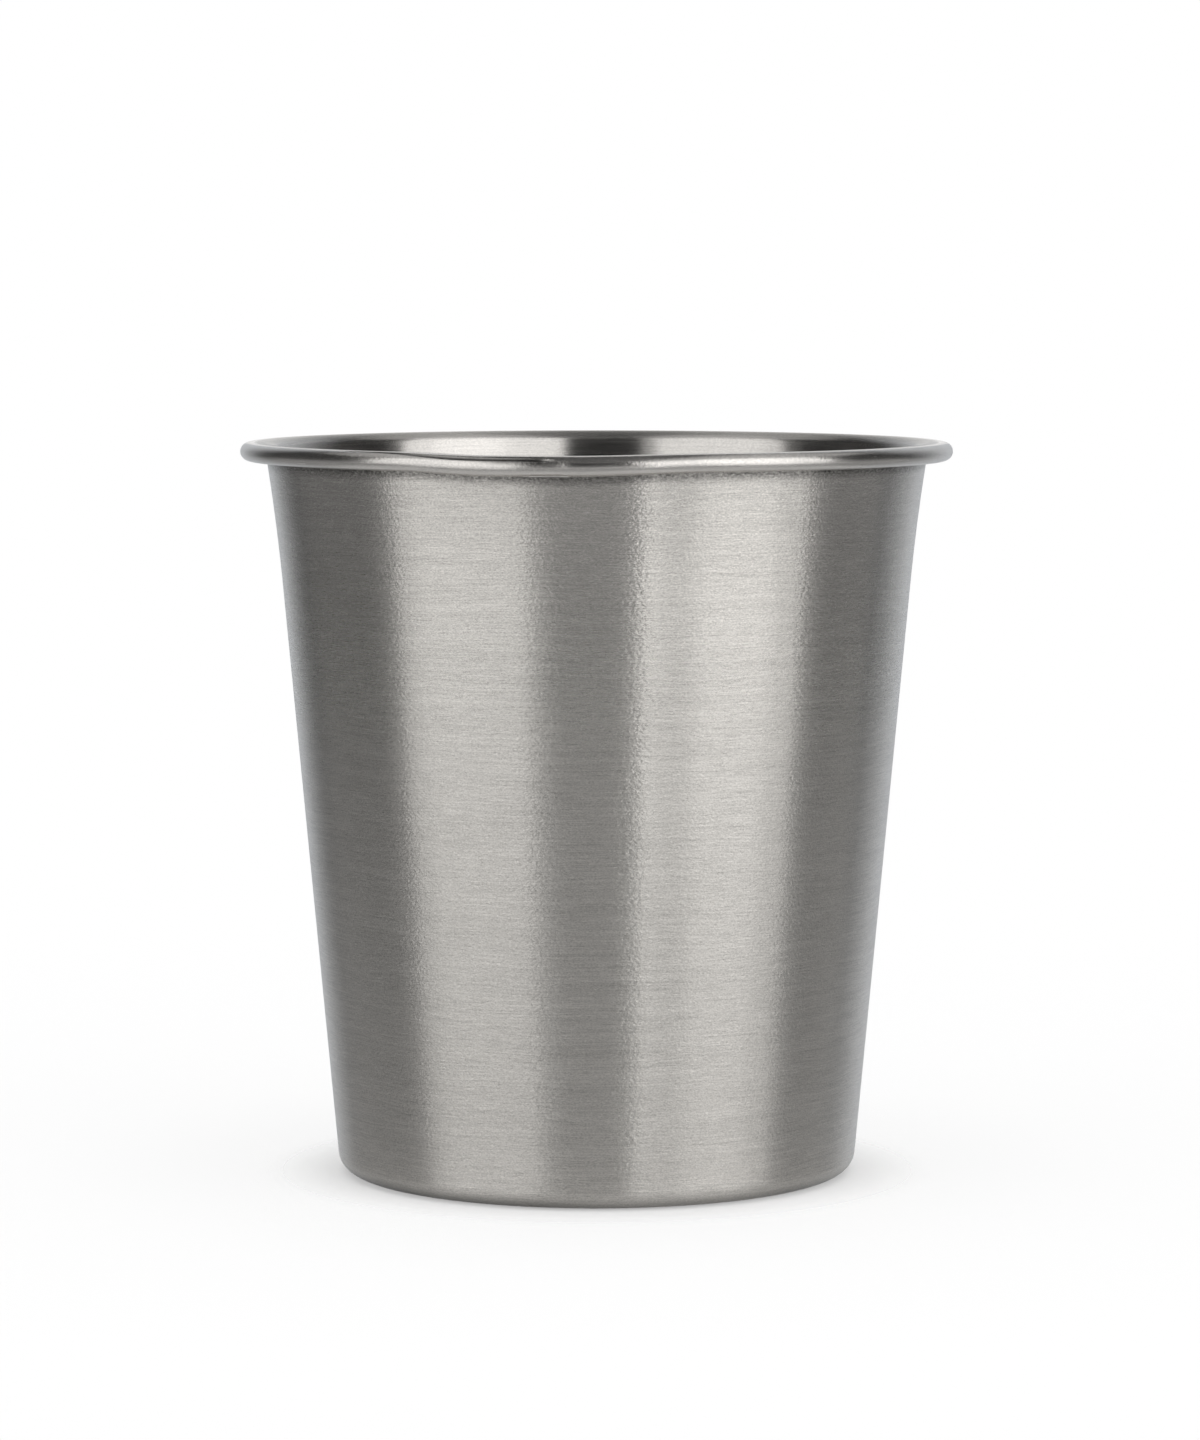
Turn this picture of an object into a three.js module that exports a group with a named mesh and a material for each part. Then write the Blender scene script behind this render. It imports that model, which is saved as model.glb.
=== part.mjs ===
// A tapered stainless steel cup with two walls and a rolled rim, in millimetres, with +Z up.
// The origin is on the cup's axis, at the level of the table that it stands on.
import * as THREE from 'three';

// Outside of the cup.
const CUP_HEIGHT = 82.4;
const RIM_DIAMETER = 80; // over the rolled rim
const BASE_DIAMETER = 58.2; // the outer wall's straight taper, carried down to the table
const HEEL_RADIUS = 2.3; // outside of the curve from the wall into the foot
const LIP_FLARE = 0.5; // how far both walls lean out, past their straight taper, below the rim
const LIP_FLARE_HEIGHT = 15; // height over which they do so

// Sheet thickness of each piece.
const SHELL_SHEET = 0.4;
const LINER_SHEET = 0.4;
const DISC_SHEET = 0.4;

// Rolled rim, where the liner's lip is locked round the shell's flange.
const BEAD_DIAMETER = 2; // over the roll
const BEAD_STANDOFF = 0.8; // from the roll to the shell's wall
const LIP_RADIUS = 1.25; // where the liner turns out into the rim, on its inside face
const FLANGE_BEND = 0.4; // where the shell turns out into its flange, on its outside face
const SEAM_CLEARANCE = 0.15; // between the two sheets in the seam

// Space between the walls, and the inside of the cup.
const AIR_GAP = 3; // what the walls draw apart between the rim and the floor
const FLOOR_GAP = 3; // from the base disc to the floor of the liner
const LINER_HEEL_RADIUS = 6; // where the liner's wall meets its floor, on its inside face

// Foot of the shell, and the base disc that sits in it.
const FOOT_LAND = 3.2; // width of the flat ring that stands on the table
const SEAT_CLEARANCE = 0.15; // between the foot and the disc on it
const DISH_HEIGHT = 2.4; // from the table to the underside of the disc's middle
const DISH_INSET = 0.6; // from the foot's inner edge to the start of the dish
const DISH_BEND = 1.2; // both bends of the dish, on the face that bends less
const DISH_SLOPE = THREE.MathUtils.degToRad(40);

// How finely the round shapes are divided.
const ROUND_STEPS = 48; // facets round the cup
const ARC_STEP = THREE.MathUtils.degToRad(20); // largest step along an arc of a section
const FLARE_STEPS = 5;

// Sections are drawn in the half plane x = radius, y = height.
const QUARTER_TURN = Math.PI / 2;
const beadRadius = BEAD_DIAMETER / 2;
const beadCore = beadRadius - LINER_SHEET;
const beadCentre = new THREE.Vector2(RIM_DIAMETER / 2 - beadRadius, CUP_HEIGHT - beadRadius);
const flareStart = beadCentre.y - LIP_FLARE_HEIGHT;
const lipRadius = RIM_DIAMETER / 2 - BEAD_DIAMETER - BEAD_STANDOFF;
const shellTaper = (lipRadius - LIP_FLARE - BASE_DIAMETER / 2) / beadCentre.y;
const discSeat = SHELL_SHEET + SEAT_CLEARANCE;
const floorHeight = DISH_HEIGHT + DISC_SHEET + FLOOR_GAP + LINER_SHEET;
const linerTaper = shellTaper + AIR_GAP / (beadCentre.y - floorHeight);

/** Share of the flare's height that lies below a height, from 0 at its start to 1 at the bead's centre. */
function flareShare(height) {
  return Math.max(0, (height - flareStart) / LIP_FLARE_HEIGHT);
}

/** Radius of the shell's outside face. */
function shellRadius(height) {
  return BASE_DIAMETER / 2 + shellTaper * height + LIP_FLARE * flareShare(height) ** 2;
}

/** Radius of the liner's inside face, which draws away from the shell towards the floor. */
function linerRadius(height) {
  const sheets = SHELL_SHEET + SEAM_CLEARANCE + LINER_SHEET;
  return shellRadius(height) - sheets - (linerTaper - shellTaper) * (beadCentre.y - height);
}

/** Angle that a wall leans outwards at a height, for its straight taper. */
function wallLean(taper, height) {
  return Math.atan(taper + (2 * LIP_FLARE * flareShare(height)) / LIP_FLARE_HEIGHT);
}

/** Points of a wall through its flare, from the top of its straight part up to a height. */
function flarePoints(radiusAt, top) {
  const points = [];
  for (let step = 0; step <= FLARE_STEPS; step += 1) {
    const height = THREE.MathUtils.lerp(flareStart, top, step / FLARE_STEPS);
    points.push(new THREE.Vector2(radiusAt(height), height));
  }
  return points;
}

/** Points of an arc between two angles, both included. It turns clockwise where the angle falls. */
function arcPoints(centre, radius, from, to) {
  const arc = new THREE.EllipseCurve(centre.x, centre.y, radius, radius, from, to, to < from);
  return arc.getPoints(Math.ceil(Math.abs(to - from) / ARC_STEP));
}

/** Centre of the arc that joins a tapered wall to a flat floor. */
function heelCentre(radiusAt, taper, floor, radius) {
  const height = floor + radius;
  return new THREE.Vector2(radiusAt(height) - radius / Math.cos(Math.atan(taper)), height);
}

/** Direction from one point to the next, turned a quarter to the left. */
function leftNormal(from, to) {
  const along = to.clone().sub(from).normalize();
  return new THREE.Vector2(-along.y, along.x);
}

/** The other face of a sheet that lies to the left of a face, with the corners mitred. */
function otherFace(face, thickness) {
  return face.map((point, index) => {
    const last = face.length - 1;
    const before = leftNormal(face[Math.max(index - 1, 0)], face[Math.max(index, 1)]);
    const after = leftNormal(face[Math.min(index, last - 1)], face[Math.min(index + 1, last)]);
    const mitre = thickness / (1 + before.dot(after));
    return point.clone().addScaledVector(before, mitre).addScaledVector(after, mitre);
  });
}

/** A sheet turned round the cup's axis. A face that ends on the axis closes there, and any other on itself. */
function turnedSheet(name, face, thickness, material) {
  const outline = [...face, ...otherFace(face, thickness).reverse()];
  const onAxis = face[0].x === 0 || face.at(-1).x === 0;
  if (!onAxis) {
    outline.push(outline[0].clone());
  } else if (face[0].x !== 0) {
    const turn = outline.findIndex((point) => point.x === 0) + 1;
    outline.unshift(...outline.splice(turn));
  }
  const mesh = new THREE.Mesh(new THREE.LatheGeometry(outline, ROUND_STEPS), material);
  mesh.name = name;
  return mesh;
}

const shellHeel = heelCentre(shellRadius, shellTaper, 0, HEEL_RADIUS);
const footInner = shellHeel.x - FOOT_LAND;

/** Outer wall, from the inner edge of its foot, up its outside face, to the edge of its flange. */
function outerShell() {
  const flangeFace = beadCentre.y - SHELL_SHEET / 2;
  const lean = wallLean(shellTaper, flangeFace);
  const wallTop = flangeFace - FLANGE_BEND * (1 - Math.sin(lean));
  const bend = new THREE.Vector2(shellRadius(wallTop) + FLANGE_BEND * Math.cos(lean), flangeFace - FLANGE_BEND);
  const coreReach = Math.sqrt(beadCore ** 2 - (SHELL_SHEET / 2) ** 2);
  const flangeEdge = beadCentre.x + coreReach - SEAM_CLEARANCE;
  const face = [
    new THREE.Vector2(footInner, 0),
    ...arcPoints(shellHeel, HEEL_RADIUS, -QUARTER_TURN, -Math.atan(shellTaper)),
    ...flarePoints(shellRadius, wallTop).slice(0, -1),
    ...arcPoints(bend, FLANGE_BEND, Math.PI - lean, QUARTER_TURN),
    new THREE.Vector2(flangeEdge, flangeFace),
  ];
  const brushed = new THREE.MeshStandardMaterial({ color: 0xa5a29c, roughness: 0.42, metalness: 1 });
  return turnedSheet('outer_shell', face, SHELL_SHEET, brushed);
}

/** Drinking cup, from the hidden edge of its roll, over the rim, down its inside face, to the middle of its floor. */
function innerLiner() {
  const hook = Math.asin((SHELL_SHEET / 2 + SEAM_CLEARANCE) / beadCore);
  const lean = wallLean(linerTaper, CUP_HEIGHT - LIP_RADIUS);
  const wallTop = CUP_HEIGHT - LIP_RADIUS * (1 - Math.sin(lean));
  const lip = new THREE.Vector2(linerRadius(wallTop) + LIP_RADIUS * Math.cos(lean), CUP_HEIGHT - LIP_RADIUS);
  const heel = heelCentre(linerRadius, linerTaper, floorHeight, LINER_HEEL_RADIUS);
  const face = [
    ...arcPoints(beadCentre, beadRadius, hook - Math.PI, QUARTER_TURN),
    ...arcPoints(lip, LIP_RADIUS, QUARTER_TURN, Math.PI - lean),
    ...flarePoints(linerRadius, wallTop).slice(0, -1).reverse(),
    ...arcPoints(heel, LINER_HEEL_RADIUS, -Math.atan(linerTaper), -QUARTER_TURN),
    new THREE.Vector2(0, floorHeight),
  ];
  const satin = new THREE.MeshStandardMaterial({ color: 0xb3b0aa, roughness: 0.28, metalness: 1 });
  return turnedSheet('inner_liner', face, LINER_SHEET, satin);
}

/** Dished bottom, from the middle of its underside out to its edge, which lies on the shell's foot. */
function baseDisc() {
  const bendRise = DISH_BEND * (1 - Math.cos(DISH_SLOPE));
  const slopeRise = DISH_HEIGHT - discSeat - 2 * bendRise;
  const dishRun = 2 * DISH_BEND * Math.sin(DISH_SLOPE) + slopeRise / Math.tan(DISH_SLOPE);
  const lower = new THREE.Vector2(footInner - DISH_INSET, discSeat + DISH_BEND);
  const upper = new THREE.Vector2(lower.x - dishRun, DISH_HEIGHT - DISH_BEND);
  const face = [
    new THREE.Vector2(0, DISH_HEIGHT),
    ...arcPoints(upper, DISH_BEND, QUARTER_TURN, QUARTER_TURN - DISH_SLOPE),
    ...arcPoints(lower, DISH_BEND, -QUARTER_TURN - DISH_SLOPE, -QUARTER_TURN),
    new THREE.Vector2(shellHeel.x, discSeat),
  ];
  const pressed = new THREE.MeshStandardMaterial({ color: 0xa8a6a1, roughness: 0.36, metalness: 1 });
  return turnedSheet('base_disc', face, DISC_SHEET, pressed);
}

// The sections turn about Y, and the cup stands along Z.
const cup = new THREE.Group();
cup.rotation.x = QUARTER_TURN;
cup.add(outerShell(), innerLiner(), baseDisc());

export default cup;
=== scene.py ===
"""Looks of a tapered stainless steel cup: its three sheet pieces, their finishes, studio and camera."""
import logging
import math
from dataclasses import dataclass
from enum import Enum
from typing import Any, Callable

import bmesh
import bpy
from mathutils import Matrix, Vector


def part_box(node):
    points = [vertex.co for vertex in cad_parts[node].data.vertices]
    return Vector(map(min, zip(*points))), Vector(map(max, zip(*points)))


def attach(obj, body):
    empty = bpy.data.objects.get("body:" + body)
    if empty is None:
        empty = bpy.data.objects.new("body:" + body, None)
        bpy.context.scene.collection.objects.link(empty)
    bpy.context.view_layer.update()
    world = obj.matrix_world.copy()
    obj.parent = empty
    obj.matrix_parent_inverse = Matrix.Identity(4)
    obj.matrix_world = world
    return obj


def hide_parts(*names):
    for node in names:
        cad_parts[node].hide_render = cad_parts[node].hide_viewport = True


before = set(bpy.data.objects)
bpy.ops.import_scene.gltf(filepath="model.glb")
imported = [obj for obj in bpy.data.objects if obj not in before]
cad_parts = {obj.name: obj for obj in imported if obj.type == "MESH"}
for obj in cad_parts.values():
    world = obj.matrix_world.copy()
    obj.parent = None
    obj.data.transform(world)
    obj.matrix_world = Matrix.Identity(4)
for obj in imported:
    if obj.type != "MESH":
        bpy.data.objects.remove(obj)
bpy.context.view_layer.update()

BODY = "root"
MM = 0.001
QUARTER_TURN = math.pi / 2
NOISE_MEAN = 0.5
LOG = logging.getLogger("steel_cup")

Point = tuple[float, float]
Colour = tuple[float, float, float, float]
RadiusAt = Callable[[float], float]
Ring = list[bmesh.types.BMVert]


class ShaderMath(Enum):
    """Operations of Blender's Math node that the finishes use."""

    ADD = "ADD"
    SUBTRACT = "SUBTRACT"
    MULTIPLY = "MULTIPLY"
    DIVIDE = "DIVIDE"
    MAXIMUM = "MAXIMUM"
    ARCTAN2 = "ARCTAN2"


class Signal:
    """A socket of a shader node, with Python's operators standing for Math nodes."""

    def __init__(self, bench: "NodeBench", socket: bpy.types.NodeSocket) -> None:
        """Keeps the bench that adds nodes and the socket that gives the value."""
        self.bench = bench
        self.socket = socket

    def __add__(self, other: "Signal | float") -> "Signal":
        """Sum of two values."""
        return self.bench.math(ShaderMath.ADD, self, other)

    def __radd__(self, other: float) -> "Signal":
        """Sum of a number and this value."""
        return self.bench.math(ShaderMath.ADD, other, self)

    def __sub__(self, other: "Signal | float") -> "Signal":
        """Difference of two values."""
        return self.bench.math(ShaderMath.SUBTRACT, self, other)

    def __rsub__(self, other: float) -> "Signal":
        """A number less this value."""
        return self.bench.math(ShaderMath.SUBTRACT, other, self)

    def __mul__(self, other: "Signal | float") -> "Signal":
        """Product of two values."""
        return self.bench.math(ShaderMath.MULTIPLY, self, other)

    def __rmul__(self, other: float) -> "Signal":
        """Product of a number and this value."""
        return self.bench.math(ShaderMath.MULTIPLY, other, self)

    def __truediv__(self, other: "Signal | float") -> "Signal":
        """Quotient of two values."""
        return self.bench.math(ShaderMath.DIVIDE, self, other)

    def __rtruediv__(self, other: float) -> "Signal":
        """A number divided by this value."""
        return self.bench.math(ShaderMath.DIVIDE, other, self)

    def larger(self, other: "Signal | float") -> "Signal":
        """The larger of two values."""
        return self.bench.math(ShaderMath.MAXIMUM, self, other)

    def between(self, low: float, high: float) -> "Signal":
        """A smooth step from 0 at one value to 1 at another.

        Args:
            low: Value where the step starts.
            high: Value where the step is complete.

        Returns:
            The step, from 0 to 1.
        """
        settings = {"interpolation_type": "SMOOTHSTEP"}
        inputs = {"Value": self, "From Min": low, "From Max": high}
        return self.bench.node("ShaderNodeMapRange", settings, inputs)["Result"]

    def within(self, ends: tuple[float, float, float, float]) -> "Signal":
        """A smooth rise from 0 to 1 between the first two values, and a fall between the last two."""
        return self.between(*ends[:2]) * (1 - self.between(*ends[2:]))


class NodeOutputs:
    """Outputs of a new node, picked by their names."""

    def __init__(self, bench: "NodeBench", node: bpy.types.Node) -> None:
        """Keeps the bench and the node."""
        self.bench = bench
        self.node = node

    def __getitem__(self, name: str | int) -> Signal:
        """The output of that name or place."""
        return Signal(self.bench, self.node.outputs[name])


class NodeBench:
    """Adds nodes to one node tree, with their settings and their inputs."""

    def __init__(self, tree: bpy.types.NodeTree) -> None:
        """Keeps the tree and clears it."""
        self.tree = tree
        tree.nodes.clear()

    def node(
        self,
        kind: str,
        settings: dict[str, Any] | None = None,
        inputs: dict[str | int, Any] | None = None,
    ) -> NodeOutputs:
        """Adds one node.

        Args:
            kind: Blender's name of the node's type.
            settings: Properties of the node, set before its sockets.
            inputs: Values or signals for its sockets, by name or place.

        Returns:
            The node's outputs.
        """
        node = self.tree.nodes.new(kind)
        for name, value in (settings or {}).items():
            setattr(node, name, value)
        for name, value in (inputs or {}).items():
            if isinstance(value, Signal):
                self.tree.links.new(value.socket, node.inputs[name])
            else:
                node.inputs[name].default_value = value
        return NodeOutputs(self, node)

    def math(self, operation: ShaderMath, first: Signal | float, second: Signal | float) -> Signal:
        """Adds a Math node for two values."""
        return self.node("ShaderNodeMath", {"operation": operation.value}, {0: first, 1: second})["Value"]

    def scaled(self, vector: Signal, factors: tuple[float, float, float]) -> Signal:
        """Multiplies a vector by factors, one for each axis."""
        settings = {"operation": "MULTIPLY"}
        return self.node("ShaderNodeVectorMath", settings, {0: vector, 1: factors})["Vector"]

    def noise(self, vector: Signal, scale: float, detail: float = 2.0, roughness: float = 0.5) -> Signal:
        """Adds a noise texture.

        Args:
            vector: Where the noise is read.
            scale: Features for each unit of the vector.
            detail: Number of finer layers.
            roughness: Weight of the finer layers.

        Returns:
            The noise, from 0 to 1 with a mean of one half.
        """
        inputs = {"Vector": vector, "Scale": scale, "Detail": detail, "Roughness": roughness}
        return self.node("ShaderNodeTexNoise", {"noise_dimensions": "3D"}, inputs)["Fac"]

    def tinted(self, colour: Colour, amount: Signal) -> Signal:
        """Multiplies a colour by a grey amount.

        Args:
            colour: The plain colour.
            amount: How bright it becomes, where 1 leaves it as it is.

        Returns:
            The colour that results, which may be brighter than white.
        """
        shares = {"Red": amount, "Green": amount, "Blue": amount}
        grey = self.node("ShaderNodeCombineColor", {}, shares)["Color"]
        settings = {"data_type": "RGBA", "blend_type": "MULTIPLY", "clamp_result": False}
        return self.node("ShaderNodeMix", settings, {"Factor": 1.0, "A": colour, "B": grey})["Result"]

    def mixed(self, share: Signal, first: Signal | Colour, second: Signal | Colour) -> Signal:
        """A mix of two colours."""
        settings = {"data_type": "RGBA", "blend_type": "MIX"}
        return self.node("ShaderNodeMix", settings, {"Factor": share, "A": first, "B": second})["Result"]


def new_material(name: str) -> tuple[bpy.types.Material, NodeBench]:
    """Makes an empty material.

    Args:
        name: Name of the material.

    Returns:
        The material and a bench for its nodes.
    """
    material = bpy.data.materials.new(name)
    material.use_nodes = True
    return material, NodeBench(material.node_tree)


@dataclass(frozen=True)
class SpunPlace:
    """Where a point of the cup is, for finishes that run round it."""

    turn: Signal
    radius: Signal
    height: Signal
    lathe: Signal

    @classmethod
    def read(cls, bench: NodeBench) -> "SpunPlace":
        """Reads the place from the piece's own coordinates.

        Args:
            bench: Where the nodes go.

        Returns:
            Degrees to the right of the camera, radius and height in millimetres, and a place in metres whose
            third axis runs up the walls and outwards over the floors.
        """
        place = bench.node("ShaderNodeTexCoord")["Object"]
        axes = bench.node("ShaderNodeSeparateXYZ", {}, {"Vector": place})
        across = bench.scaled(place, (1.0, 1.0, 0.0))
        radius = bench.node("ShaderNodeVectorMath", {"operation": "LENGTH"}, {0: across})["Value"]
        turn = bench.math(ShaderMath.ARCTAN2, axes["X"], 0 - axes["Y"]) * math.degrees(1)
        inputs = {"X": axes["X"], "Y": axes["Y"], "Z": axes["Z"] + radius}
        lathe = bench.node("ShaderNodeCombineXYZ", {}, inputs)["Vector"]
        return cls(turn, radius / MM, axes["Z"] / MM, lathe)


@dataclass(frozen=True)
class Hairlines:
    """Fine lines round the cup, left by a brushing wheel, in millimetres."""

    length: float
    width: float
    detail: float = 3.0
    roughness: float = 0.6
    sway: float = 0.0
    sway_length: float = 14.0
    sway_detail: float = 1.0

    def read(self, bench: NodeBench, place: SpunPlace) -> Signal:
        """Noise that is long round the cup and narrow up its walls and over its floors.

        Args:
            bench: Where the nodes go.
            place: Where the point is.

        Returns:
            The lines' height, from 0 to 1.
        """
        along = 1 / (self.length * MM)
        across = 1 / (self.width * MM)
        stretched = bench.scaled(place.lathe, (along, along, across))
        if self.sway:
            wander = bench.noise(place.lathe, 1 / (self.sway_length * MM), self.sway_detail) - NOISE_MEAN
            slant = bench.node("ShaderNodeCombineXYZ", {}, {"Z": self.sway / self.width * wander})["Vector"]
            settings = {"operation": "ADD"}
            stretched = bench.node("ShaderNodeVectorMath", settings, {0: stretched, 1: slant})["Vector"]
        return bench.noise(stretched, 1.0, self.detail, self.roughness)


@dataclass(frozen=True)
class BrushedSteel:
    """Finish of the outer wall: a fine hairline brush whose reflections smear up and down.

    It also paints shade into the colour: a strip under the rim, broken up by grain, and a band at the heel,
    deeper at the left.
    """

    wear: "RimWear"
    colour: Colour = (0.611, 0.590, 0.558, 1.0)
    foot_roughness: float = 0.315
    rim_roughness: float = 0.265
    roughness_range: tuple[float, float] = (0.0, 80.0)
    roughness_swing: float = 0.05
    brush_direction: float = 0.25
    anisotropy: float = 0.98
    hairs: Hairlines = Hairlines(length=1.9, width=0.1, detail=3.0, roughness=0.6)
    specks: Hairlines = Hairlines(length=0.22, width=0.11, detail=1.0)
    flakes: Hairlines = Hairlines(length=0.42, width=0.3, detail=1.0)
    strokes: Hairlines = Hairlines(length=9.0, width=0.13, detail=3.0, roughness=0.55, sway=1.6)
    drifts: Hairlines = Hairlines(length=12.0, width=1.0, detail=3.0)
    hair_tone: float = 0.55
    speck_tone: float = 0.84
    stroke_tone: float = 0.5
    drift_tone: float = 0.2
    hair_depth: float = 0.004
    speck_depth: float = 0.004
    flake_depth: float = 0.023
    # painted shade: a strip under the rim and a band at the heel, deeper towards the left
    strip_height: float = 1.5
    rim_shade_tone: float = 0.6
    heel_height: float = 1.9
    heel_shade_tone: float = 0.4
    left_heel_shade_tone: float = 0.16
    left_heel_shade_turn: tuple[float, float] = (-14.0, 2.0)

    def material(self) -> bpy.types.Material:
        """Makes the finish.

        Returns:
            The material.
        """
        material, bench = new_material("brushed_shell_steel")
        place = SpunPlace.read(bench)
        hairs = self.hairs.read(bench, place)
        specks = self.specks.read(bench, place)
        strokes = self.strokes.read(bench, place)
        drifts = self.drifts.read(bench, place)
        grain = self.hair_tone * (hairs - NOISE_MEAN) + self.speck_tone * (specks - NOISE_MEAN)
        grain = grain + self.stroke_tone * (strokes - NOISE_MEAN) + self.drift_tone * (drifts - NOISE_MEAN)
        flakes = self.flakes.read(bench, place)
        # painted shade under the rim, broken up by the flakes' grain
        painted_rim_shade = self.rim_shade_tone * self.rim_shade_strip(place) * (flakes / NOISE_MEAN)
        # painted shade at the heel, deeper towards the left
        heel_shade_tone = self.heel_shade_tone + self.left_heel_shade_tone * (1 - place.turn.between(*self.left_heel_shade_turn))
        painted_heel_shade = heel_shade_tone * (1 - place.height.between(0.0, self.heel_height))
        tone = (1 + grain) * (1 - painted_rim_shade) * (1 - painted_heel_shade)
        height = self.hair_depth * hairs + self.speck_depth * specks + self.flake_depth * flakes
        bump_inputs = {"Strength": 1.0, "Distance": MM, "Height": height}
        finer = self.foot_roughness - self.rim_roughness
        roughness = self.foot_roughness - finer * place.height.between(*self.roughness_range)
        shader_inputs = {
            "Base Color": bench.tinted(self.colour, tone),
            "Metallic": 1.0,
            "Roughness": roughness + self.roughness_swing * (hairs - NOISE_MEAN),
            "Anisotropic": self.anisotropy,
            "Anisotropic Rotation": self.brush_direction,
            "Normal": bench.node("ShaderNodeBump", {}, bump_inputs)["Normal"],
        }
        shader = bench.node("ShaderNodeBsdfPrincipled", {}, shader_inputs)["BSDF"]
        bench.node("ShaderNodeOutputMaterial", {}, {"Surface": shader})
        return material

    def rim_shade_strip(self, place: SpunPlace) -> Signal:
        """The strip of painted shade close under the rim, which follows the rim's sag.

        Args:
            place: Where the point is.

        Returns:
            The strip's strength, from 0 at its lower edge to 1 at the rim.
        """
        height = place.height + self.wear.sag_bottom * self.wear.sag_signal(place)
        top = self.wear.section.height - 2 * self.wear.section.bead_radius
        return height.between(top - self.strip_height, top)


@dataclass(frozen=True)
class RolledSteel:
    """Finish of the liner: satin inside, drawn duller over the lip, and rubbed smooth on the roll."""

    wear: "RimWear"
    colour: Colour = (0.652, 0.630, 0.602, 1.0)
    inside_roughness: float = 0.2
    lip_roughness: float = 0.45
    roll_roughness: float = 0.25
    roughness_swing: float = 0.12
    brush_direction: float = 0.25
    anisotropy: float = 0.85
    lip_start: tuple[float, float] = (36.1, 36.9)
    roll_start: tuple[float, float] = (38.0, 38.6)
    lines: Hairlines = Hairlines(length=7.0, width=0.2, detail=3.0)
    specks: Hairlines = Hairlines(length=0.3, width=0.2, detail=1.0)
    line_depth: float = 0.004
    speck_depth: float = 0.012
    line_tone: float = 0.5
    speck_tone: float = 0.35
    # painted shade in the rim's fold and before the knock, and on the upper inside wall
    crease_shade_tone: float = 0.85
    inside_shade_tone: float = 0.15
    inside_shade_range: tuple[float, float] = (50.0, 74.0)

    def material(self) -> bpy.types.Material:
        """Makes the finish.

        Returns:
            The material.
        """
        material, bench = new_material("rolled_liner_steel")
        place = SpunPlace.read(bench)
        lip = place.radius.between(*self.lip_start)
        roll = place.radius.between(*self.roll_start)
        lines = self.lines.read(bench, place)
        specks = self.specks.read(bench, place)
        height = self.line_depth * lines + self.speck_depth * roll * specks
        grain = self.line_tone * (lines - NOISE_MEAN) + self.speck_tone * (specks - NOISE_MEAN)
        # painted shade in the rim's fold and just before the knock
        tone = (1 + grain) * (1 - self.crease_shade_tone * self.wear.crease_shade_signal(place))
        # painted shade: the inside wall darker towards the top, fading out over the lip
        tone = tone * (1 - self.inside_shade_tone * (1 - lip) * place.height.between(*self.inside_shade_range))
        roughness = self.inside_roughness + (self.lip_roughness - self.inside_roughness) * lip
        roughness = roughness + (self.roll_roughness - self.lip_roughness) * roll
        bump_inputs = {"Strength": 1.0, "Distance": MM, "Height": height}
        shader_inputs = {
            "Base Color": bench.tinted(self.colour, tone),
            "Metallic": 1.0,
            "Roughness": roughness + self.roughness_swing * (lines - NOISE_MEAN),
            "Anisotropic": self.anisotropy,
            "Anisotropic Rotation": self.brush_direction,
            "Normal": bench.node("ShaderNodeBump", {}, bump_inputs)["Normal"],
        }
        shader = bench.node("ShaderNodeBsdfPrincipled", {}, shader_inputs)["BSDF"]
        bench.node("ShaderNodeOutputMaterial", {}, {"Surface": shader})
        return material


@dataclass(frozen=True)
class PressedSteel:
    """Finish of the base disc: press-dulled sheet with faint rings from the spinning wheel."""

    colour: Colour = (0.592, 0.570, 0.543, 1.0)
    roughness: float = 0.36
    rings: Hairlines = Hairlines(length=14.0, width=0.3, detail=3.0, roughness=0.6)
    ring_depth: float = 0.006
    ring_tone: float = 0.45
    ring_swing: float = 0.1
    cloud_size: float = 9.0
    cloud_detail: float = 4.0
    cloud_roughness: float = 0.55
    cloud_swing: float = 0.14

    def material(self) -> bpy.types.Material:
        """Makes the finish.

        Returns:
            The material.
        """
        material, bench = new_material("pressed_base_steel")
        place = SpunPlace.read(bench)
        rings = self.rings.read(bench, place)
        flat = bench.scaled(place.lathe, (1 / MM, 1 / MM, 0.0))
        cloud = bench.noise(flat, 1 / self.cloud_size, self.cloud_detail, self.cloud_roughness)
        clouding = self.cloud_swing * (cloud - NOISE_MEAN)
        tone = 1 + self.ring_tone * (rings - NOISE_MEAN) + clouding
        bump_inputs = {"Strength": 1.0, "Distance": self.ring_depth * MM, "Height": rings}
        shader_inputs = {
            "Base Color": bench.tinted(self.colour, tone),
            "Metallic": 1.0,
            "Roughness": self.roughness + clouding + self.ring_swing * (rings - NOISE_MEAN),
            "Normal": bench.node("ShaderNodeBump", {}, bump_inputs)["Normal"],
        }
        shader = bench.node("ShaderNodeBsdfPrincipled", {}, shader_inputs)["BSDF"]
        bench.node("ShaderNodeOutputMaterial", {}, {"Surface": shader})
        return material


def arc_points(centre: Point, radius: float, start: float, end: float, step: float) -> list[Point]:
    """Points of an arc between two angles, both included.

    Args:
        centre: Centre of the arc.
        radius: Radius of the arc.
        start: First angle, in radians.
        end: Last angle, in radians.
        step: Largest angle between two points.

    Returns:
        The points, in order.
    """
    count = math.ceil(abs(end - start) / step)
    angles = [start + (end - start) * index / count for index in range(count + 1)]
    return [(centre[0] + radius * math.cos(angle), centre[1] + radius * math.sin(angle)) for angle in angles]


def offset_points(face: list[Point], thickness: float) -> list[Point]:
    """The other face of a sheet that lies to the left of a face, with mitred corners.

    Args:
        face: Points of the first face.
        thickness: Thickness of the sheet.

    Returns:
        Points of the second face, in the same order.
    """
    normals = []
    for first, second in zip(face, face[1:]):
        along = (Vector(second) - Vector(first)).normalized()
        normals.append(Vector((-along.y, along.x)))
    result = []
    for index, point in enumerate(face):
        before = normals[max(index - 1, 0)]
        after = normals[min(index, len(normals) - 1)]
        moved = Vector(point) + (before + after) * (thickness / (1 + before.dot(after)))
        result.append((moved.x, moved.y))
    return result


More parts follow.
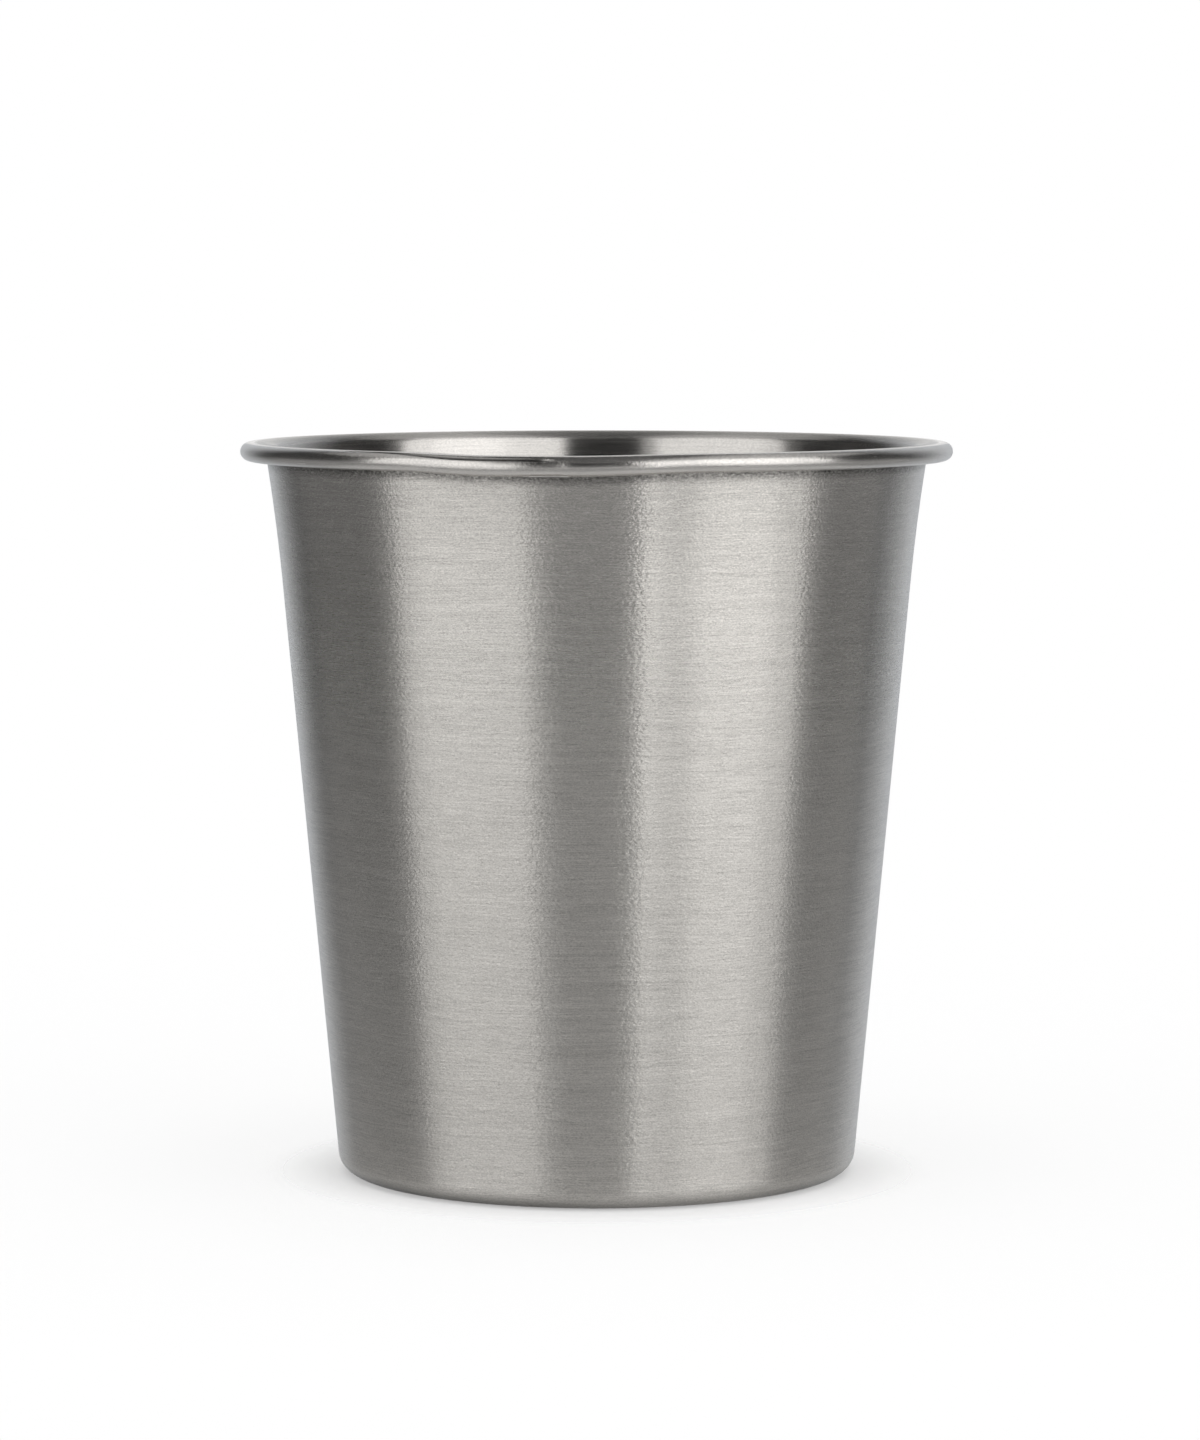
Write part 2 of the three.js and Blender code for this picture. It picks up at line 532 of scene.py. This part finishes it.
@dataclass(frozen=True)
class CupSection:
    """Sizes that the pieces share, in millimetres, with the rim and the height taken from the frame."""

    rim_radius: float
    height: float
    base_radius: float = 29.1
    heel_radius: float = 2.3
    lip_flare: float = 0.5
    flare_height: float = 15.0
    sheet: float = 0.4
    bead_radius: float = 1.0
    bead_standoff: float = 0.8
    seam_clearance: float = 0.15
    air_gap: float = 3.0
    floor_gap: float = 3.0
    dish_height: float = 2.4
    foot_land: float = 3.2
    arc_step: float = math.radians(8)
    bead_step: float = math.radians(2.5)
    flare_steps: int = 12

    @property
    def bead_centre(self) -> Point:
        """Centre of the roll's section."""
        return self.rim_radius - self.bead_radius, self.height - self.bead_radius

    @property
    def bead_core(self) -> float:
        """Inside radius of the roll."""
        return self.bead_radius - self.sheet

    @property
    def flare_start(self) -> float:
        """Height where both walls start to lean out."""
        return self.bead_centre[1] - self.flare_height

    @property
    def shell_taper(self) -> float:
        """Slope of the shell's straight wall."""
        lip = self.rim_radius - 2 * self.bead_radius - self.bead_standoff
        return (lip - self.lip_flare - self.base_radius) / self.bead_centre[1]

    @property
    def floor_height(self) -> float:
        """Height of the liner's floor, on its inside face."""
        return self.dish_height + self.floor_gap + 2 * self.sheet

    @property
    def liner_taper(self) -> float:
        """Slope of the liner's straight wall."""
        return self.shell_taper + self.air_gap / (self.bead_centre[1] - self.floor_height)

    def flare_share(self, height: float) -> float:
        """Share of the flare below a height."""
        return max(0.0, (height - self.flare_start) / self.flare_height)

    def shell_radius(self, height: float) -> float:
        """Radius of the shell's outside face."""
        return self.base_radius + self.shell_taper * height + self.lip_flare * self.flare_share(height) ** 2

    def liner_radius(self, height: float) -> float:
        """Radius of the liner's inside face, which draws away from the shell towards the floor.

        Args:
            height: Height on the wall.

        Returns:
            The radius.
        """
        sheets = 2 * self.sheet + self.seam_clearance
        drawn_in = (self.liner_taper - self.shell_taper) * (self.bead_centre[1] - height)
        return self.shell_radius(height) - sheets - drawn_in

    def lean(self, taper: float, height: float) -> float:
        """Angle that a wall leans outwards at a height."""
        return math.atan(taper + 2 * self.lip_flare * self.flare_share(height) / self.flare_height)

    def flare_points(self, radius_at: RadiusAt, top: float) -> list[Point]:
        """Points of a wall from the start of its flare up to a height, which is left out.

        Args:
            radius_at: Radius of the wall at a height.
            top: Height of the wall's upper end.

        Returns:
            The points, upwards.
        """
        span = top - self.flare_start
        steps = range(self.flare_steps)
        heights = [self.flare_start + span * step / self.flare_steps for step in steps]
        return [(radius_at(height), height) for height in heights]

    def heel_centre(self, radius_at: RadiusAt, taper: float, floor: float, radius: float) -> Point:
        """Centre of the arc that joins a wall to a flat floor.

        Args:
            radius_at: Radius of the wall at a height.
            taper: Slope of the wall.
            floor: Height of the floor.
            radius: Radius of the arc.

        Returns:
            The centre.
        """
        return radius_at(floor + radius) - radius / math.cos(math.atan(taper)), floor + radius


def toward(azimuth: float, distance: float, height: float) -> Vector:
    """A place round the cup.

    Args:
        azimuth: Degrees to the right of the camera, seen from the cup.
        distance: Metres from the cup's axis.
        height: Metres above the floor.

    Returns:
        The place.
    """
    angle = math.radians(azimuth)
    return Vector((distance * math.sin(angle), -distance * math.cos(angle), height))


def step_between(value: float, low: float, high: float) -> float:
    """A smooth step from 0 at one value to 1 at another."""
    share = min(1.0, max(0.0, (value - low) / (high - low)))
    return share * share * (3 - 2 * share)


@dataclass(frozen=True)
class RimWear:
    """Unevenness of the rolled rim at the front, in millimetres and degrees round the cup."""

    section: CupSection
    sag_top: float = 0.22
    sag_bottom: float = 0.40
    sag_fade: float = 5.0
    sag_left: tuple[float, float] = (-33.0, -17.0)
    sag_right: tuple[float, float] = (-6.0, 19.0)
    crease_depth: float = 0.2
    crease_width: float = 6.0
    crease_angle: float = 42.0
    crease_climb: float = 34.0
    crease_ends: tuple[float, float, float, float] = (-46.0, -36.0, -9.0, -6.5)
    climb_ends: tuple[float, float] = (-39.0, -22.0)
    # painted shade in the fold and just before the knock, for the liner's finish
    crease_shade_width: float = 15.0
    knock_shade_ends: tuple[float, float, float, float] = (-20.0, -14.0, -9.0, -7.4)
    knock_shade_angles: tuple[float, float, float, float] = (-4.0, 24.0, 60.0, 80.0)
    knock_shade_share: float = 0.65
    dent_place: float = -6.5
    dent_left: float = 4.2
    dent_right: float = 2.3
    dent_depth: float = 0.13
    dent_fade: tuple[float, float] = (0.2, 0.9)
    face_share: float = 0.8
    fine_range: tuple[float, float] = (-42.0, 22.0)
    fine_step: float = 0.5
    plain_step: float = 1.48

    def azimuths(self) -> list[float]:
        """Angles of a piece's points round the cup, closer together where the rim is uneven.

        Returns:
            The angles, in degrees to the right of the camera.
        """
        first, last = self.fine_range
        fine = round((last - first) / self.fine_step)
        plain = round((360 - last + first) / self.plain_step)
        angles = [first + (last - first) * index / fine for index in range(fine)]
        return angles + [last + (360 - last + first) * index / plain for index in range(plain)]

    def place(self, azimuth: float, radius: float, height: float) -> Point:
        """Moves a point of a section to where the worn rim has it.

        The fold and the knock are in the roll's outer face alone. The sag takes the top of the walls with it.

        Args:
            azimuth: Where the section is, in degrees to the right of the camera.
            radius: Radius of the point.
            height: Height of the point.

        Returns:
            The moved radius and height.
        """
        cup = self.section
        turn = (azimuth + 180) % 360 - 180
        outward = Vector((radius, height)) - Vector(cup.bead_centre)
        if outward.length > self.face_share * cup.bead_radius and outward.x > 0:
            angle = math.degrees(math.atan2(outward.y, outward.x))
            depth = self.crease(turn, angle) + self.dent(turn, outward.y)
            radius -= depth * outward.x / outward.length
            height -= depth * outward.y / outward.length
        bottom = cup.height - 2 * cup.bead_radius
        rise = step_between(height, bottom, cup.height)
        depth = self.sag_bottom + (self.sag_top - self.sag_bottom) * rise
        depth *= step_between(height, bottom - self.sag_fade, bottom)
        sag = step_between(turn, *self.sag_left) * (1 - step_between(turn, *self.sag_right))
        return radius, height - depth * sag

    def crease(self, turn: float, angle: float) -> float:
        """Depth of the fold that runs along the top of the roll.

        Args:
            turn: Place round the cup, in degrees.
            angle: Place round the roll's section, in degrees above the level.

        Returns:
            The depth.
        """
        begin, full, fade, end = self.crease_ends
        window = step_between(turn, begin, full) * (1 - step_between(turn, fade, end))
        line = self.crease_angle + self.crease_climb * (1 - step_between(turn, *self.climb_ends))
        return self.crease_depth * window * math.exp(-(((angle - line) / self.crease_width) ** 2))

    def dent(self, turn: float, level: float) -> float:
        """Depth of the knock in the roll.

        Args:
            turn: Place round the cup, in degrees.
            level: Height above the roll's centre.

        Returns:
            The depth.
        """
        offset = turn - self.dent_place
        across = offset / (self.dent_left if offset < 0 else self.dent_right)
        return self.dent_depth * math.exp(-(across**2)) * (1 - step_between(level, *self.dent_fade))

    def sag_signal(self, place: SpunPlace) -> Signal:
        """Where the rim sags, from 0 to 1, for a finish."""
        return place.turn.between(*self.sag_left) * (1 - place.turn.between(*self.sag_right))

    def crease_shade_signal(self, place: SpunPlace) -> Signal:
        """Where painted shade lies in the fold along the top of the roll, and spreads down before the knock.

        Args:
            place: Where the point is.

        Returns:
            The painted shade's strength, from 0 to 1.
        """
        across, up = self.section.bead_centre
        bench = place.turn.bench
        level = place.height + self.sag_top * self.sag_signal(place) - up
        angle = bench.math(ShaderMath.ARCTAN2, level, place.radius - across) * math.degrees(1)
        climb = self.crease_climb * (1 - place.turn.between(*self.climb_ends))
        off_line = angle - self.crease_angle - climb
        off_crease = (off_line * off_line).between(0.0, self.crease_shade_width**2)
        crease_shade = place.turn.within(self.crease_ends) * (1 - off_crease)
        knock_shade = place.turn.within(self.knock_shade_ends) * angle.within(self.knock_shade_angles)
        return crease_shade.larger(self.knock_shade_share * knock_shade)


@dataclass
class TurnedPiece:
    """A sheet piece that is turned round the cup's axis and stands for one node of the frame."""

    section: CupSection
    wear: RimWear
    name: str
    node: str
    slot: str
    sharp_angle: float = math.radians(35)

    def face(self) -> list[Point]:
        """Points of the face that is drawn, with the sheet on its left."""
        raise NotImplementedError

    def outline(self) -> list[Point]:
        """Outline of the sheet's section: its drawn face, then its other face back."""
        face = self.face()
        return face + offset_points(face, self.section.sheet)[::-1]

    def build(self) -> bpy.types.Object:
        """Turns the outline into a closed mesh and puts it on the frame.

        Returns:
            The piece.
        """
        outline = self.outline()
        shape = bmesh.new()
        rings = [self.ring(shape, radius, height) for radius, height in outline]
        for first, second in zip(rings, rings[1:] + rings[:1]):
            self.join(shape, first, second)
        bmesh.ops.recalc_face_normals(shape, faces=shape.faces)
        for face in shape.faces:
            face.smooth = True
        for edge in shape.edges:
            edge.smooth = edge.calc_face_angle(0.0) < self.sharp_angle
        mesh = bpy.data.meshes.new(self.name)
        shape.to_mesh(mesh)
        shape.free()
        piece = bpy.data.objects.new(self.name, mesh)
        bpy.context.scene.collection.objects.link(piece)
        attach(piece, BODY)
        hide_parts(self.node)
        return piece

    def ring(self, shape: bmesh.types.BMesh, radius: float, height: float) -> Ring:
        """Adds one ring of points, or a single point on the axis.

        Args:
            shape: Mesh that takes the points.
            radius: Radius of the ring, in millimetres.
            height: Height of the ring, in millimetres.

        Returns:
            The ring's points.
        """
        if radius == 0:
            return [shape.verts.new((0, 0, height * MM))]
        ring = []
        for azimuth in self.wear.azimuths():
            worn_radius, worn_height = self.wear.place(azimuth, radius, height)
            ring.append(shape.verts.new(toward(azimuth, worn_radius * MM, worn_height * MM)))
        return ring

    def join(self, shape: bmesh.types.BMesh, first: Ring, second: Ring) -> None:
        """Adds the faces between two rings, either of which may be a point.

        Args:
            shape: Mesh that takes the faces.
            first: A ring along the outline.
            second: The ring that follows it.
        """
        if len(first) == 1 and len(second) == 1:
            return
        count = max(len(first), len(second))
        for index in range(count):
            after = (index + 1) % count
            if len(first) == 1:
                corners = [first[0], second[after], second[index]]
            elif len(second) == 1:
                corners = [first[index], first[after], second[0]]
            else:
                corners = [first[index], first[after], second[after], second[index]]
            shape.faces.new(corners)

    def dress(self, piece: bpy.types.Object, finish: BrushedSteel | RolledSteel | PressedSteel) -> None:
        """Gives the piece its finish."""
        piece.data.materials.append(finish.material())


@dataclass
class OuterShell(TurnedPiece):
    """Brushed outer wall with its turned-in foot and the flange that the rim is rolled round."""

    name: str = "brushed_outer_shell"
    node: str = "outer_shell"
    slot: str = "brushed_shell"
    flange_bend: float = 0.4

    def face(self) -> list[Point]:
        """Outside face, from the foot's inner edge up to the flange's edge.

        Returns:
            The face's points, in order.
        """
        cup = self.section
        heel = cup.heel_centre(cup.shell_radius, cup.shell_taper, 0.0, cup.heel_radius)
        flange = cup.bead_centre[1] - cup.sheet / 2
        lean = cup.lean(cup.shell_taper, flange)
        wall_top = flange - self.flange_bend * (1 - math.sin(lean))
        bend = (cup.shell_radius(wall_top) + self.flange_bend * math.cos(lean), flange - self.flange_bend)
        reach = math.sqrt(cup.bead_core**2 - (cup.sheet / 2) ** 2)
        return [
            (heel[0] - cup.foot_land, 0.0),
            *arc_points(heel, cup.heel_radius, -QUARTER_TURN, -math.atan(cup.shell_taper), cup.arc_step),
            *cup.flare_points(cup.shell_radius, wall_top),
            *arc_points(bend, self.flange_bend, math.pi - lean, QUARTER_TURN, cup.arc_step),
            (cup.bead_centre[0] + reach - cup.seam_clearance, flange),
        ]


@dataclass
class InnerLiner(TurnedPiece):
    """Drinking cup whose lip is rolled over the shell's flange into the rim."""

    name: str = "rolled_inner_liner"
    node: str = "inner_liner"
    slot: str = "satin_liner"
    lip_radius: float = 1.25
    heel_radius: float = 6.0

    def face(self) -> list[Point]:
        """Inside face, from the roll's hidden edge, over the rim, down to the middle of the floor.

        Returns:
            The face's points, in order.
        """
        cup = self.section
        hook = math.asin((cup.sheet / 2 + cup.seam_clearance) / cup.bead_core)
        lean = cup.lean(cup.liner_taper, cup.height - self.lip_radius)
        wall_top = cup.height - self.lip_radius * (1 - math.sin(lean))
        lip = (cup.liner_radius(wall_top) + self.lip_radius * math.cos(lean), cup.height - self.lip_radius)
        heel = cup.heel_centre(cup.liner_radius, cup.liner_taper, cup.floor_height, self.heel_radius)
        return [
            *arc_points(cup.bead_centre, cup.bead_radius, hook - math.pi, QUARTER_TURN, cup.bead_step),
            *arc_points(lip, self.lip_radius, QUARTER_TURN, math.pi - lean, cup.arc_step),
            *cup.flare_points(cup.liner_radius, wall_top)[::-1],
            *arc_points(heel, self.heel_radius, -math.atan(cup.liner_taper), -QUARTER_TURN, cup.arc_step),
            (0.0, cup.floor_height),
        ]


@dataclass
class BaseDisc(TurnedPiece):
    """Dished bottom that lies on the shell's foot."""

    name: str = "dished_base_disc"
    node: str = "base_disc"
    slot: str = "pressed_base"
    seat_clearance: float = 0.15
    dish_inset: float = 0.6
    dish_bend: float = 1.2
    dish_slope: float = math.radians(40)

    def face(self) -> list[Point]:
        """Underside, from its middle out to its edge.

        Returns:
            The face's points, in order.
        """
        cup = self.section
        heel = cup.heel_centre(cup.shell_radius, cup.shell_taper, 0.0, cup.heel_radius)
        seat = cup.sheet + self.seat_clearance
        rise = cup.dish_height - seat - 2 * self.dish_bend * (1 - math.cos(self.dish_slope))
        run = 2 * self.dish_bend * math.sin(self.dish_slope) + rise / math.tan(self.dish_slope)
        lower = (heel[0] - cup.foot_land - self.dish_inset, seat + self.dish_bend)
        upper = (lower[0] - run, cup.dish_height - self.dish_bend)
        return [
            (0.0, cup.dish_height),
            *arc_points(upper, self.dish_bend, QUARTER_TURN, QUARTER_TURN - self.dish_slope, cup.arc_step),
            *arc_points(lower, self.dish_bend, -QUARTER_TURN - self.dish_slope, -QUARTER_TURN, cup.arc_step),
            (heel[0], seat),
        ]


@dataclass(frozen=True)
class SoftBox:
    """A soft lamp that stands upright and faces the cup, its edges in degrees and the rest in metres."""

    name: str
    left_edge: float
    right_edge: float
    brightness: float
    distance: float = 0.75
    bottom: float = -0.31
    top: float = 0.8

    def build(self) -> bpy.types.Object:
        """Adds the lamp.

        Returns:
            The lamp.
        """
        middle = (self.left_edge + self.right_edge) / 2
        half = math.radians((self.right_edge - self.left_edge) / 2)
        place = toward(middle, self.distance, (self.top + self.bottom) / 2)
        facing = Vector((0, 0, place.z)) - place
        width = 2 * self.distance * math.tan(half)
        lamp = panel_lamp(self.name, width, self.top - self.bottom, self.brightness)
        lamp.location = place
        lamp.rotation_euler = facing.to_track_quat("-Z", "Y").to_euler()
        return lamp


@dataclass(frozen=True)
class TopPanel:
    """A level lamp above the cup, in metres, which the steel mirrors or not."""

    name: str
    brightness: float
    left_edge: float
    right_edge: float
    mirrored: bool
    front_edge: float = -0.65
    back_edge: float = 0.65
    height: float = 0.9

    def build(self) -> bpy.types.Object:
        """Adds the lamp.

        Returns:
            The lamp.
        """
        width = self.right_edge - self.left_edge
        depth = self.back_edge - self.front_edge
        lamp = panel_lamp(self.name, width, depth, self.brightness)
        across = (self.left_edge + self.right_edge) / 2
        along = (self.front_edge + self.back_edge) / 2
        lamp.location = (across, along, self.height)
        lamp.visible_glossy = self.mirrored
        return lamp


def panel_lamp(name: str, width: float, height: float, brightness: float) -> bpy.types.Object:
    """Adds a rectangular lamp that the camera doesn't see.

    Args:
        name: Name of the lamp.
        width: Its width, in metres.
        height: Its height, in metres.
        brightness: How bright its face is, where 1 is white.

    Returns:
        The lamp.
    """
    light = bpy.data.lights.new(name, "AREA")
    light.shape = "RECTANGLE"
    light.size = width
    light.size_y = height
    light.energy = brightness * math.pi * width * height
    lamp = bpy.data.objects.new(name, light)
    lamp.visible_camera = False
    bpy.context.scene.collection.objects.link(lamp)
    return lamp


@dataclass(frozen=True)
class ClothShade:
    """How pale a card's cloth is above the cup's foot and below it, from 0 to 1, and its tint."""

    upper: float
    lower: float
    tint: tuple[float, float, float] = (1.0, 1.0, 1.0)
    change: tuple[float, float] = (-300.0, 50.0)

    def colour(self, bench: NodeBench, place: SpunPlace) -> Signal:
        """The cloth's colour, which changes over a range of heights in millimetres.

        Args:
            bench: Where the nodes go.
            place: Where the point is.

        Returns:
            The colour.
        """
        low = (*(self.lower * share for share in self.tint), 1.0)
        high = (*(self.upper * share for share in self.tint), 1.0)
        return bench.mixed(place.height.between(*self.change), low, high)


@dataclass(frozen=True)
class StudioCard:
    """An upright card that bends round the cup, with a shade at each edge, which the steel mirrors."""

    name: str
    left_edge: float
    right_edge: float
    left_shade: ClothShade
    right_shade: ClothShade
    distance: float = 1.1
    bottom: float = -0.9
    top: float = 0.95
    steps: int = 24

    def build(self) -> bpy.types.Object:
        """Adds the card.

        Returns:
            The card.
        """
        shape = bmesh.new()
        columns = []
        for index in range(self.steps + 1):
            azimuth = self.left_edge + (self.right_edge - self.left_edge) * index / self.steps
            ends = [toward(azimuth, self.distance, height) for height in (self.bottom, self.top)]
            columns.append([shape.verts.new(end) for end in ends])
        for first, second in zip(columns, columns[1:]):
            shape.faces.new([first[0], second[0], second[1], first[1]])
        return stage_piece(self.name, shape, self.cloth())

    def cloth(self) -> bpy.types.Material:
        """Makes a dull cloth that goes from the shade at one edge to the shade at the other.

        Returns:
            The material.
        """
        material, bench = new_material(self.name)
        place = SpunPlace.read(bench)
        share = place.turn.between(self.left_edge, self.right_edge)
        left = self.left_shade.colour(bench, place)
        right = self.right_shade.colour(bench, place)
        colour = bench.mixed(share, left, right)
        inputs = {"Base Color": colour, "Roughness": 1.0, "Specular IOR Level": 0.0}
        cloth = bench.node("ShaderNodeBsdfPrincipled", {}, inputs)["BSDF"]
        bench.node("ShaderNodeOutputMaterial", {}, {"Surface": cloth})
        return material


def stage_piece(name: str, shape: bmesh.types.BMesh, material: bpy.types.Material) -> bpy.types.Object:
    """Makes an object of the stage that the camera doesn't see.

    Args:
        name: Name of the object.
        shape: Its mesh, which is freed.
        material: Its material.

    Returns:
        The object.
    """
    mesh = bpy.data.meshes.new(name)
    shape.to_mesh(mesh)
    shape.free()
    mesh.materials.append(material)
    piece = bpy.data.objects.new(name, mesh)
    piece.visible_camera = False
    bpy.context.scene.collection.objects.link(piece)
    return piece


@dataclass(frozen=True)
class Studio:
    """Plain studio: a pale floor that fades into a white surround, soft lamps and grey cards.

    The floor has three covers. Each holds the radii where it starts to fade and is gone, and its share.
    """

    floor_radius: float = 0.3
    floor_hole: float = 0.0265
    floor_steps: int = 96
    floor_drop: float = 0.00005
    contact_floor: tuple[float, float, float] = (0.027, 0.039, 0.42)
    near_floor: tuple[float, float, float] = (0.032, 0.07, 0.08)
    far_floor: tuple[float, float, float] = (0.06, 0.25, 0.12)
    floor_colour: Colour = (0.88, 0.88, 0.88, 1.0)
    surround: Colour = (1.0, 1.0, 1.0, 1.0)
    fill: Colour = (0.8, 0.8, 0.8, 1.0)
    ceiling_grey: float = 0.2
    ceiling_height: float = 0.95
    ground_grey: float = 0.9
    ground_height: float = -0.85
    level_card_half: float = 1.0
    pale_tint: tuple[float, float, float] = (0.96, 0.99, 1.03)

    def build(self) -> None:
        """Adds the floor, the surround, the lamps and the cards."""
        self.build_floor()
        self.build_surround()
        self.build_level_card("ceiling_card", self.ceiling_height, self.ceiling_grey)
        self.build_level_card("ground_card", self.ground_height, self.ground_grey)
        self.build_lamps()
        self.build_cards()

    def build_lamps(self) -> None:
        """Adds the soft boxes at both sides, the low fills between them and the panels overhead."""
        lamps = (
            SoftBox("left_soft_box", -77.0, -17.6, 0.49, bottom=-0.22),
            SoftBox("left_soft_box_middle", -75.0, -24.0, 0.29, distance=0.8),
            SoftBox("left_soft_box_inner", -67.0, -24.0, 0.16, distance=0.78),
            SoftBox("left_soft_box_spill", -85.0, -77.0, 0.1, distance=0.8),
            SoftBox("left_soft_box_top", -77.0, -22.0, 0.33, distance=0.85, bottom=0.08),
            SoftBox("right_soft_box", 16.2, 78.6, 0.94, bottom=-0.22, top=0.08),
            SoftBox("right_soft_box_edge", 16.2, 19.6, 0.6, distance=0.7, top=0.08),
            SoftBox("right_soft_box_side", 16.2, 25.0, 0.16, distance=0.72, top=0.08),
            SoftBox("right_soft_box_spill", 10.0, 16.2, 0.05, distance=0.8, top=0.08),
            SoftBox("right_soft_box_outer_spill", 78.6, 87.0, 0.12, distance=0.8),
            SoftBox("right_soft_box_middle", 36.0, 66.0, 0.27, distance=0.8),
            SoftBox("right_soft_box_top", 12.4, 79.6, 1.39, bottom=0.08),
            SoftBox("left_fill", -127.0, -78.0, 0.06, distance=0.9, bottom=-0.33, top=0.02),
            SoftBox("front_fill", -18.5, 13.6, 0.36, distance=0.9, bottom=-0.33, top=0.02),
            SoftBox("right_fill", 80.0, 118.0, 0.15, distance=0.9, bottom=-0.33, top=0.02),
            TopPanel("left_overhead", 0.4, -0.85, -0.24, mirrored=True),
            TopPanel("right_overhead", 0.4, 0.24, 0.85, mirrored=True),
            TopPanel("floor_light", 1.65, -0.65, 0.65, mirrored=False),
        )
        for lamp in lamps:
            LOG.info("lamp %s", lamp.build().name)

    def build_cards(self) -> None:
        """Adds the upright cards, dark at the front and the sides and pale behind the cup."""
        dark = ClothShade(upper=0.075, lower=0.43)
        front = ClothShade(upper=0.06, lower=0.43)
        left_pale = ClothShade(upper=0.9, lower=0.85, tint=self.pale_tint)
        right_pale = ClothShade(upper=0.92, lower=0.9, tint=self.pale_tint)
        cards = (
            StudioCard("left_pale_card", -172.0, -163.0, left_pale, left_pale),
            StudioCard("left_ramp_card", -163.0, -127.0, left_pale, dark),
            StudioCard("left_card", -127.0, -76.0, dark, dark),
            StudioCard("front_card", -76.0, 78.0, front, front),
            StudioCard("right_card", 78.0, 110.0, dark, dark),
            StudioCard("right_ramp_card", 110.0, 156.0, dark, right_pale),
            StudioCard("right_pale_card", 156.0, 172.0, right_pale, right_pale),
        )
        for card in cards:
            LOG.info("card %s", card.build().name)

    def floor_material(self) -> bpy.types.Material:
        """Makes a pale finish that fades out away from the cup and is clear from below.

        Returns:
            The material.
        """
        material, bench = new_material("pale_floor")
        place = bench.node("ShaderNodeTexCoord")["Object"]
        distance = bench.node("ShaderNodeVectorMath", {"operation": "LENGTH"}, {0: place})["Value"]
        below = bench.node("ShaderNodeNewGeometry")["Backfacing"]
        cover = 0.0
        for start, end, share in (self.contact_floor, self.near_floor, self.far_floor):
            cover = cover + share * (1 - distance.between(start, end))
        fade = 1 - cover * (1 - below)
        solid = bench.node("ShaderNodeBsdfDiffuse", {}, {"Color": self.floor_colour})["BSDF"]
        clear = bench.node("ShaderNodeBsdfTransparent")["BSDF"]
        mixed = bench.node("ShaderNodeMixShader", {}, {0: fade, 1: solid, 2: clear})[0]
        bench.node("ShaderNodeOutputMaterial", {}, {"Surface": mixed})
        return material

    def build_floor(self) -> None:
        """Adds a round floor, with a hole inside the cup's foot that lets light reach its base."""
        shape = bmesh.new()
        spokes = []
        for index in range(self.floor_steps):
            azimuth = 360 * index / self.floor_steps
            ends = [toward(azimuth, radius, 0.0) for radius in (self.floor_hole, self.floor_radius)]
            spokes.append([shape.verts.new(end) for end in ends])
        for first, second in zip(spokes, spokes[1:] + spokes[:1]):
            shape.faces.new([first[0], first[1], second[1], second[0]])
        floor = stage_piece("pale_floor", shape, self.floor_material())
        floor.location.z = -self.floor_drop
        floor.visible_camera = True

    def build_surround(self) -> None:
        """Makes the world white to the eye and in reflections, and a plain fill light otherwise."""
        world = bpy.data.worlds.new("white_surround")
        world.use_nodes = True
        bpy.context.scene.world = world
        bench = NodeBench(world.node_tree)
        path = bench.node("ShaderNodeLightPath")
        seen = path["Is Camera Ray"].larger(path["Is Glossy Ray"]).larger(path["Is Transmission Ray"])
        colour = bench.mixed(seen, self.fill, self.surround)
        light = bench.node("ShaderNodeBackground", {}, {"Color": colour, "Strength": 1.0})["Background"]
        bench.node("ShaderNodeOutputWorld", {}, {"Surface": light})

    def build_level_card(self, name: str, height: float, grey: float) -> None:
        """Adds a level card above or below the cup.

        Args:
            name: Name of the card.
            height: Its height, in metres.
            grey: How pale it is, from 0 to 1.
        """
        shape = bmesh.new()
        half = self.level_card_half
        corners = [(-half, -half), (half, -half), (half, half), (-half, half)]
        shape.faces.new([shape.verts.new((x, y, height)) for x, y in corners])
        material, bench = new_material(name)
        cloth = bench.node("ShaderNodeBsdfDiffuse", {}, {"Color": (grey, grey, grey, 1.0)})["BSDF"]
        bench.node("ShaderNodeOutputMaterial", {}, {"Surface": cloth})
        stage_piece(name, shape, material)


@dataclass(frozen=True)
class PhotoCamera:
    """Camera at the photograph's place, in metres and degrees."""

    distance: float = 0.6105
    height: float = 0.1035
    sideways: float = 0.00038
    pitch: float = 4.917
    focal_pixels: float = 5425.7
    frame_pixels: float = 1440.0
    sensor: float = 36.0

    def build(self) -> bpy.types.Object:
        """Adds the camera and makes it the scene's.

        Returns:
            The camera.
        """
        lens = bpy.data.cameras.new("photo_camera")
        lens.sensor_width = self.sensor
        lens.lens = self.focal_pixels / self.frame_pixels * self.sensor
        camera = bpy.data.objects.new("photo_camera", lens)
        camera.location = (self.sideways, -self.distance, self.height)
        camera.rotation_euler = (QUARTER_TURN - math.radians(self.pitch), 0.0, 0.0)
        bpy.context.scene.collection.objects.link(camera)
        bpy.context.scene.camera = camera
        return camera


def main() -> None:
    """Builds the cup, its studio and its camera."""
    logging.basicConfig(level=logging.INFO, format="%(name)s: %(message)s")
    bpy.context.scene.view_settings.view_transform = "Standard"
    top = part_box("inner_liner")[1]
    section = CupSection(rim_radius=top.x / MM, height=top.z / MM)
    wear = RimWear(section)
    pieces = (
        (OuterShell(section, wear), BrushedSteel(wear)),
        (InnerLiner(section, wear), RolledSteel(wear)),
        (BaseDisc(section, wear), PressedSteel()),
    )
    for maker, finish in pieces:
        piece = maker.build()
        maker.dress(piece, finish)
        faces = len(piece.data.polygons)
        LOG.info("piece %s: %d faces, finish %s", piece.name, faces, type(finish).__name__)
    PhotoCamera().build()
    Studio().build()


if __name__ == "__main__":
    main()
